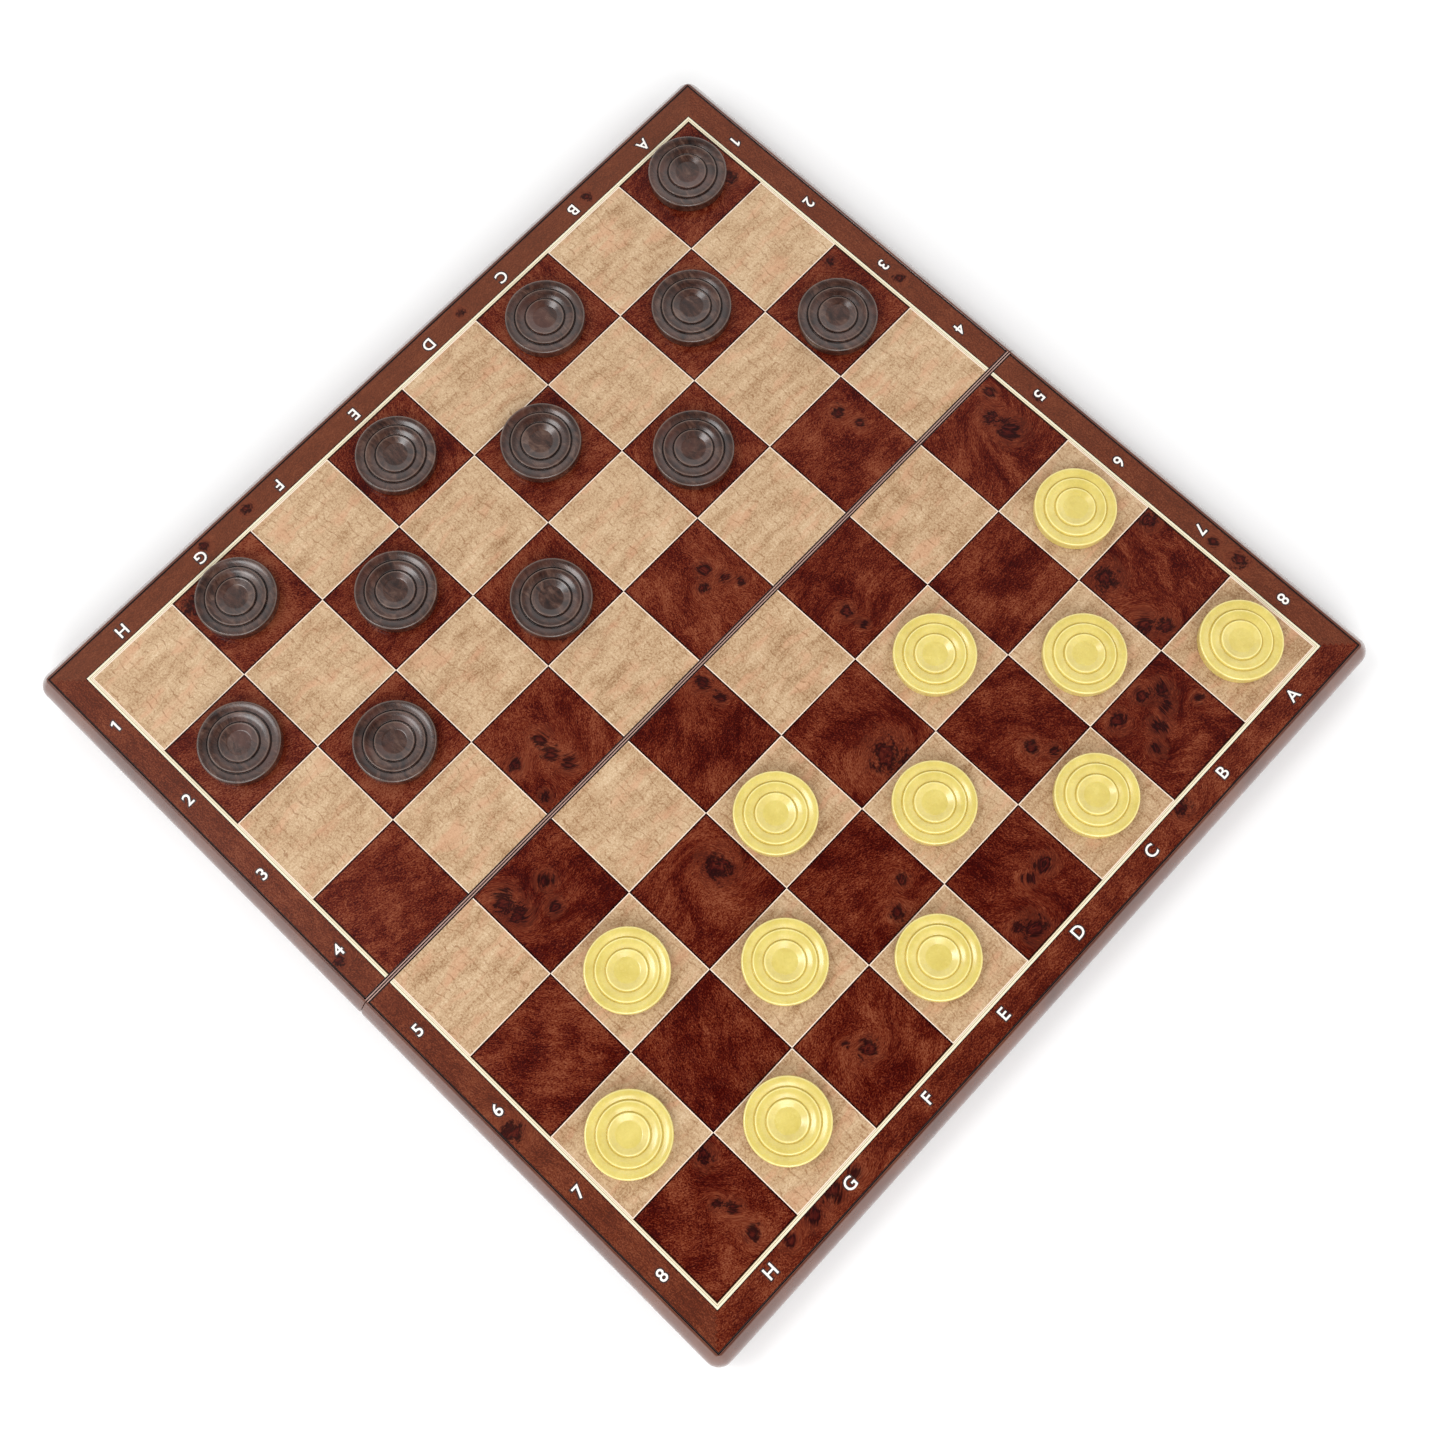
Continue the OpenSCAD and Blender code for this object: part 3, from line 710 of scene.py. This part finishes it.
def evened(profile, step):
    # points added along every straight longer than step, at equal shares of its length
    parts = []
    for first, second in zip(profile, profile[1:]):
        count = max(1, math.ceil(np.linalg.norm(second - first) / step))
        parts.append(first + (second - first) * np.linspace(0, 1, count + 1)[:-1, None])
    return np.concatenate(parts + [profile[-1:]])


def nearness(profile, spots, width):
    # exp(-(d / width)^2) of the distance d to the nearest spot
    away = np.linalg.norm(profile[:, None, :] - np.array(spots)[None, :, :], axis=2).min(1)
    return np.exp(-(away / width) ** 2)


def turned(name, profile, centre, turns):
    # x = r cos a, y = r sin a, z = z along a profile that starts and ends on the axis, where the
    # ring of points closes on one pole
    angles = np.arange(turns) * 2 * math.pi / turns
    rings = profile[1:-1]
    body = np.stack([rings[:, 0, None] * np.cos(angles), rings[:, 0, None] * np.sin(angles),
                     np.repeat(rings[:, 1, None], turns, 1)], -1).reshape(-1, 3)
    poles = np.array([[0, 0, profile[0, 1]], [0, 0, profile[-1, 1]]])
    points = np.concatenate([body, poles]) + np.array(centre)
    index = np.arange(len(body)).reshape(-1, turns)
    ahead = np.roll(index, -1, axis=1)
    quads = np.stack([index[:-1], ahead[:-1], ahead[1:], index[1:]], -1).reshape(-1, 4)
    first = np.stack([ahead[0], index[0], np.full(turns, len(body))], 1)
    final = np.stack([index[-1], ahead[-1], np.full(turns, len(body) + 1)], 1)
    made = meshObject(name, points, quads.tolist() + first.tolist() + final.tolist())
    made.data.polygons.foreach_set("use_smooth", np.ones(len(made.data.polygons), bool))
    return made


def draughtProfile(radius, height, magnetRadius, magnetTop):
    d = draught
    outer = radius - d["outerRing"]
    inner = outer - d["middleRing"]
    flat = inner - d["slope"]
    foot = d["standOff"]
    corners = [(0, magnetTop, 0), (magnetRadius, magnetTop, d["pocketRound"]),
               (magnetRadius, foot, d["pocketEdge"]), (radius, foot, d["footRound"]),
               (radius, height, d["edgeRound"])]
    crests = [(radius - d["edgeRound"] / 2, height)]
    for groove, ring in [(outer, radius), (inner, outer)]:
        corners += [((groove + ring) / 2, height - d["shoulder"], d["crown"]),
                    (groove + d["grooveWidth"], height - d["dip"], d["ringFoot"]),
                    (groove, height - d["grooveDepth"], d["root"]),
                    (groove - d["grooveWidth"], height, d["crest"])]
        crests.append((groove - d["grooveWidth"] - d["crest"] / 2, height))
    corners += [(flat, height - d["dishDepth"], d["dishRound"]), (0, height - d["dishDepth"], 0)]
    profile = evened(roundedLine(corners), d["step"])
    roots = [(groove, height - d["grooveDepth"]) for groove in [outer, inner]]
    return profile, nearness(profile, roots, d["shadeWidth"]), nearness(profile, crests, d["highlightWidth"])


def lightDraughtMaterial():
    # ivory yellow moulded plastic: light goes a little way in, with faint clouds and fine scratches
    material, tree, shader = newMaterial("ivory yellow plastic")
    place = objectPlace(tree)
    cloud = noise(tree, place, 170.0, 4.0, 0.6).outputs["Fac"]
    speck = noise(tree, place, 1500.0, 2.0, 0.6).outputs["Fac"]
    tint = calc(tree, "MULTIPLY_ADD", speck, 0.25, calc(tree, "MULTIPLY", cloud, 0.75))
    stops = [(0.34, paint(207, 187, 97)), (0.5, paint(216, 197, 107)), (0.66, paint(224, 206, 118))]
    colour = ramp(tree, tint, stops)
    # painted shade: the grooves go to a deeper, darker yellow
    colour = blend(tree, calc(tree, "MULTIPLY", attribute(tree, "groove"), 0.45), colour, paint(206, 172, 70))
    # painted highlight: a pale line along each crest
    colour = blend(tree, calc(tree, "MULTIPLY", attribute(tree, "crest"), 0.7), colour, paint(246, 236, 166))
    link(tree, colour, shader, "Base Color")
    wear = noise(tree, place, 260.0, 6.0, 0.75).outputs["Fac"]
    link(tree, fit(tree, wear, 0.35, 0.68, 0.2, 0.3), shader, "Roughness")
    scratch = noise(tree, stretch(tree, place, (300, 2600, 900), 0.5), 1.0, 2.0).outputs["Fac"]
    bump(tree, shader, scratch, 0.012, 0.0001)
    shader.inputs["Subsurface Weight"].default_value = 0.22
    shader.inputs["Subsurface Radius"].default_value = (1.0, 0.8, 0.3)
    shader.inputs["Subsurface Scale"].default_value = 0.001
    shader.inputs["Coat Weight"].default_value = 0.9
    shader.inputs["Coat Roughness"].default_value = 0.19
    return material


def darkDraughtMaterial():
    # umber plastic marbled with greyer flow streaks
    material, tree, shader = newMaterial("marbled umber plastic")
    place = objectPlace(tree)
    bent = warp(tree, place, 60.0, 0.012)
    flow = noise(tree, stretch(tree, bent, (110, 420, 150), 0.6), 1.0, 5.0, 0.7, 0.9).outputs["Fac"]
    cloud = noise(tree, bent, 260.0, 4.0, 0.7).outputs["Fac"]
    tint = calc(tree, "MULTIPLY_ADD", flow, 0.6, calc(tree, "MULTIPLY", cloud, 0.4))
    stops = [(0.36, paint(24, 10, 8)), (0.46, paint(47, 26, 19)), (0.54, paint(67, 42, 33)),
             (0.66, paint(101, 76, 64))]
    colour = ramp(tree, tint, stops)
    rust = noise(tree, place, 70.0, 3.0, 0.6).outputs["Fac"]
    colour = blend(tree, fit(tree, rust, 0.5, 0.68, 0.0, 0.5), colour, paint(84, 46, 36))
    # painted shade: the grooves go near-black
    colour = blend(tree, calc(tree, "MULTIPLY", attribute(tree, "groove"), 0.98), colour, paint(7, 3, 3))
    # painted highlight: a pale line along each crest
    colour = blend(tree, calc(tree, "MULTIPLY", attribute(tree, "crest"), 0.5), colour, paint(124, 103, 92))
    link(tree, colour, shader, "Base Color")
    wear = noise(tree, place, 240.0, 6.0, 0.75).outputs["Fac"]
    link(tree, fit(tree, wear, 0.35, 0.68, 0.2, 0.3), shader, "Roughness")
    scratch = noise(tree, stretch(tree, place, (300, 2600, 900), 0.9), 1.0, 2.0).outputs["Fac"]
    bump(tree, shader, scratch, 0.015, 0.0001)
    shader.inputs["Coat Weight"].default_value = 0.5
    shader.inputs["Coat Roughness"].default_value = 0.2
    return material


def makeDraughts():
    finishes = {"dark": darkDraughtMaterial(), "light": lightDraughtMaterial()}
    made = 0
    for node in sorted(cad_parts):
        shade, _, cell = node.partition("_draught_")
        if not cell:
            continue
        low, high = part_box(node)
        magnetLow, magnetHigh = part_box("magnet_" + cell)
        pocket = (magnetHigh.x - magnetLow.x) / 2 + draught["pocketGap"]
        radius = (high.x - low.x) / 2
        centre = [(low.x + high.x) / 2, (low.y + high.y) / 2, low.z]
        profile, grooveShade, crests = draughtProfile(radius, high.z - low.z, pocket, magnetHigh.z - low.z)
        piece = turned(shade + "_man_" + cell, profile, centre, draught["turns"])
        for mark, values in [("groove", grooveShade), ("crest", crests)]:
            ringValues = np.repeat(values[1:-1], draught["turns"])
            fillAttribute(piece.data, mark, "POINT", np.append(ringValues, [0, 0]))
        piece.data.materials.append(finishes[shade])
        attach(piece, "draught_" + cell)
        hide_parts(node)
        made += 1
    print(made, "draughts turned")


makeDraughts()


shell = {
    "edgeRound": 0.14 * mm,
    "edgeAngle": 32,          # edges that turn more than this are rounded, in degrees
    "shadeStart": 0.1 * mm,   # depth below the panel's top where the painted shade starts
    "shadeReach": 0.3 * mm,   # how far outside the panel the painted shade lies
    "recessDepth": 1.5 * mm,  # how far below the panel's underside it ends
    "gapReach": 0.21 * mm,    # how far from the middle of the board the painted shade reaches
    "lipReach": 0.61 * mm,    # where it starts again towards the panel
    "lipHighlight": 0.75,          # how pale the painted highlight on the lips along the middle is, 0 to 1
    "coat": 0.85,             # thickness of the moulding's shine
    "sheen": 0.5,             # strength of its plain reflection
}


def shellMaterial():
    # satin red-brown moulding with a fine pebbled grain
    material, tree, shader = newMaterial("moulded shell")
    place = objectPlace(tree)
    mottle = noise(tree, place, 60.0, 4.0, 0.6).outputs["Fac"]
    stops = [(0.3, paint(76, 35, 20)), (0.5, paint(91, 45, 27)), (0.7, paint(104, 56, 34))]
    colour = ramp(tree, mottle, stops)
    # painted shade: the recess round the panel is painted near-black, from the shade's start depth down
    sides = addNode(tree, "ShaderNodeSeparateXYZ", {0: place})
    away = calc(tree, "ABSOLUTE", sides.outputs["X"])
    aside = calc(tree, "ABSOLUTE", sides.outputs["Y"])
    reach = shell["shadeReach"]
    betweenEnds = calc(tree, "LESS_THAN", aside, panelBox[1].y + reach)
    inPanel = calc(tree, "MULTIPLY", calc(tree, "LESS_THAN", away, panelBox[1].x + reach), betweenEnds)
    aboveDeck = calc(tree, "GREATER_THAN", sides.outputs["Z"], panelBox[0].z - shell["recessDepth"])
    inRecess = calc(tree, "MULTIPLY", inPanel, aboveDeck)
    below = calc(tree, "LESS_THAN", sides.outputs["Z"], panelTop - shell["shadeStart"])
    # painted shade also darkens the two lips along the middle, except between gapReach and lipReach
    atGap = calc(tree, "LESS_THAN", away, shell["gapReach"])
    atPanel = calc(tree, "GREATER_THAN", away, shell["lipReach"])
    nearMiddle = calc(tree, "LESS_THAN", away, abs(panelBox[0].x) + reach)
    edges = calc(tree, "MAXIMUM", atGap, calc(tree, "MULTIPLY", atPanel, nearMiddle))
    edges = calc(tree, "MULTIPLY", edges, betweenEnds)
    # painted highlight: between their painted shade the tops of those lips are painted pale
    onLip = calc(tree, "MULTIPLY", calc(tree, "LESS_THAN", away, shell["lipReach"]), betweenEnds)
    litLip = calc(tree, "MULTIPLY", onLip, calc(tree, "SUBTRACT", 1.0, below))
    colour = blend(tree, calc(tree, "MULTIPLY", litLip, shell["lipHighlight"]), colour, paint(186, 150, 138))
    # painted shade: near-black, with no coat or sheen where it lies
    paintedShade = calc(tree, "MAXIMUM", calc(tree, "MULTIPLY", inRecess, below), edges)
    colour = blend(tree, paintedShade, colour, paint(12, 5, 4))
    clear = calc(tree, "SUBTRACT", 1.0, paintedShade)
    link(tree, calc(tree, "MULTIPLY", clear, shell["coat"]), shader, "Coat Weight")
    link(tree, calc(tree, "MULTIPLY", clear, shell["sheen"]), shader, "Specular IOR Level")
    link(tree, colour, shader, "Base Color")
    pebble = cells(tree, place, 1500.0, "SMOOTH_F1")
    fine = noise(tree, place, 2400.0, 2.0, 0.6).outputs["Fac"]
    height = calc(tree, "MULTIPLY_ADD", fine, 0.5, pebble)
    bump(tree, shader, height, 0.08, 0.0001)
    wear = noise(tree, place, 140.0, 5.0, 0.7).outputs["Fac"]
    link(tree, fit(tree, wear, 0.35, 0.65, 0.26, 0.36), shader, "Roughness")
    shader.inputs["Coat Roughness"].default_value = 0.12
    return material


def softCopy(node, name, material, width, angle):
    # a merged copy of a CAD node whose sharp edges are rounded by a bevel
    made = bpy.data.objects.new(name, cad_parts[node].data.copy())
    made.data.name = name
    scene.collection.objects.link(made)
    work = bmesh.new()
    work.from_mesh(made.data)
    bmesh.ops.remove_doubles(work, verts=work.verts, dist=1e-6)
    bmesh.ops.dissolve_limit(work, angle_limit=math.radians(1), verts=work.verts, edges=work.edges)
    work.to_mesh(made.data)
    work.free()
    made.data.materials.clear()
    made.data.materials.append(material)
    bevel = made.modifiers.new("edge rounding", "BEVEL")
    bevel.width = width
    bevel.segments = 2
    bevel.limit_method = "ANGLE"
    bevel.angle_limit = math.radians(angle)
    bevel.use_clamp_overlap = False
    return made


def makeShells():
    finish = shellMaterial()
    for half in halves:
        node = "shell_" + half
        piece = softCopy(node, "half_shell_" + half, finish, shell["edgeRound"], shell["edgeAngle"])
        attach(piece, half + "_half")
        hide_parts(node)
    print("half shells softened")


makeShells()


def steelMaterial():
    # tin plate: pale crystals and rolling lines
    material, tree, shader = newMaterial("tin plate")
    place = objectPlace(tree)
    flake = addNode(tree, "ShaderNodeTexVoronoi", {"Vector": place, "Scale": 90.0}).outputs["Color"]
    grey = addNode(tree, "ShaderNodeSeparateColor", {0: flake}).outputs[0]
    stops = [(0.0, paint(150, 153, 157)), (1.0, paint(186, 189, 193))]
    link(tree, ramp(tree, grey, stops), shader, "Base Color")
    rolling = noise(tree, stretch(tree, place, (4000, 60, 400)), 1.0, 3.0).outputs["Fac"]
    link(tree, fit(tree, rolling, 0.3, 0.7, 0.28, 0.44), shader, "Roughness")
    bump(tree, shader, rolling, 0.1, 0.0001)
    shader.inputs["Metallic"].default_value = 1.0
    return material


def magnetMaterial():
    # nickel plating, faintly scuffed
    material, tree, shader = newMaterial("nickel plating")
    place = objectPlace(tree)
    haze = noise(tree, place, 400.0, 4.0, 0.7).outputs["Fac"]
    stops = [(0.3, paint(176, 174, 168)), (0.7, paint(206, 204, 198))]
    link(tree, ramp(tree, haze, stops), shader, "Base Color")
    link(tree, fit(tree, haze, 0.3, 0.7, 0.16, 0.36), shader, "Roughness")
    shader.inputs["Metallic"].default_value = 1.0
    return material


def pinMaterial():
    # drawn steel wire: fine lines along its length
    material, tree, shader = newMaterial("drawn steel wire")
    place = objectPlace(tree)
    lines = noise(tree, stretch(tree, place, (9000, 90, 9000)), 1.0, 3.0).outputs["Fac"]
    stops = [(0.3, paint(168, 169, 172)), (0.7, paint(204, 205, 208))]
    link(tree, ramp(tree, lines, stops), shader, "Base Color")
    link(tree, fit(tree, lines, 0.3, 0.7, 0.22, 0.4), shader, "Roughness")
    shader.inputs["Metallic"].default_value = 1.0
    return material


def rubberMaterial():
    material, tree, shader = newMaterial("foot rubber")
    place = objectPlace(tree)
    dust = noise(tree, place, 900.0, 4.0, 0.7).outputs["Fac"]
    link(tree, ramp(tree, dust, [(0.35, paint(26, 24, 23)), (0.7, paint(48, 45, 43))]), shader, "Base Color")
    link(tree, fit(tree, dust, 0.3, 0.7, 0.62, 0.85), shader, "Roughness")
    bump(tree, shader, dust, 0.3, 0.0002)
    return material


def makeHardware():
    finishes = {"steel_sheet": steelMaterial(), "hinge_pin": pinMaterial(), "feet": rubberMaterial(),
                "magnet": magnetMaterial()}
    for name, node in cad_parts.items():
        for start, finish in finishes.items():
            if name.startswith(start):
                node.data.materials.clear()
                node.data.materials.append(finish)
    print("hardware finished")


makeHardware()


studio = {
    "floorSize": 8.0,
    "floorColour": paint(252, 252, 252),
    "keyPlace": (-0.55, -0.6, 1.5),
    "keySize": 0.6,
    "keyPower": 5.7,
    "fillPlace": (1.15, -0.95, 1.2),
    "fillSize": 1.4,
    "fillPower": 16.4,
    "zenith": 0.03,          # brightness straight overhead
    "skirt": 1.1,            # brightness of the walls, up to about 50 degrees
}


def floorMaterial():
    material, tree, shader = newMaterial("white sweep")
    tone = noise(tree, objectPlace(tree), 3.0, 2.0).outputs["Fac"]
    stops = [(0.3, paint(247, 247, 247)), (0.7, studio["floorColour"])]
    link(tree, ramp(tree, tone, stops), shader, "Base Color")
    shader.inputs["Roughness"].default_value = 0.9
    shader.inputs["Specular IOR Level"].default_value = 0.1
    return material


def makeFloor():
    # a level square: z = 0 for x and y within half the floor's size
    half = studio["floorSize"] / 2
    xs, ys = np.meshgrid(np.linspace(-half, half, 9), np.linspace(-half, half, 9), indexing="ij")
    points = np.stack([xs.ravel(), ys.ravel(), np.zeros(xs.size)], 1)
    index = np.arange(xs.size).reshape(xs.shape)
    faces = np.stack([index[:-1, :-1], index[1:, :-1], index[1:, 1:], index[:-1, 1:]], -1).reshape(-1, 4)
    floor = meshObject("floor", points, faces.tolist())
    floor.data.materials.append(floorMaterial())


def areaLight(name, place, size, power):
    light = bpy.data.lights.new(name, "AREA")
    light.shape = "DISK"
    light.size = size
    light.energy = power
    lamp = bpy.data.objects.new(name, light)
    lamp.location = place
    lamp.rotation_euler = (-Vector(place)).to_track_quat("-Z", "Y").to_euler()
    scene.collection.objects.link(lamp)


def makeWorld():
    # a white room that is dark overhead: brightness rises from the zenith down to the horizon
    world = bpy.data.worlds.new("room")
    world.use_nodes = True
    scene.world = world
    tree = world.node_tree
    direction = addNode(tree, "ShaderNodeTexCoord").outputs["Generated"]
    height = addNode(tree, "ShaderNodeSeparateXYZ", {0: direction}).outputs["Z"]
    skirt = studio["skirt"]
    levels = [(0.0, skirt), (0.76, skirt), (0.90, 0.5), (0.96, 0.2), (0.99, studio["zenith"])]
    shade = ramp(tree, height, [(place, (grey, grey, grey, 1)) for place, grey in levels])
    link(tree, shade, tree.nodes["Background"], "Color")


camera = {
    "place": (0.1275, -0.1114, 0.5974),
    "target": (0.0193, -0.0102, 0.0214),
    "roll": -3.44,          # degrees about the line of sight
    "lens": 44.8,
    "sensor": 36.0,
}


def makeCamera():
    data = bpy.data.cameras.new("camera")
    data.lens = camera["lens"]
    data.sensor_width = camera["sensor"]
    data.clip_start = 0.01
    holder = bpy.data.objects.new("camera", data)
    place = Vector(camera["place"])
    aim = (Vector(camera["target"]) - place).to_track_quat("-Z", "Y").to_matrix()
    roll = Matrix.Rotation(math.radians(camera["roll"]), 3, "Z")
    holder.matrix_world = Matrix.Translation(place) @ (aim @ roll).to_4x4()
    scene.collection.objects.link(holder)
    scene.camera = holder


makeFloor()
areaLight("key", studio["keyPlace"], studio["keySize"], studio["keyPower"])
areaLight("fill", studio["fillPlace"], studio["fillSize"], studio["fillPower"])
makeWorld()
makeCamera()
scene.view_settings.view_transform = "Standard"
print("studio ready")
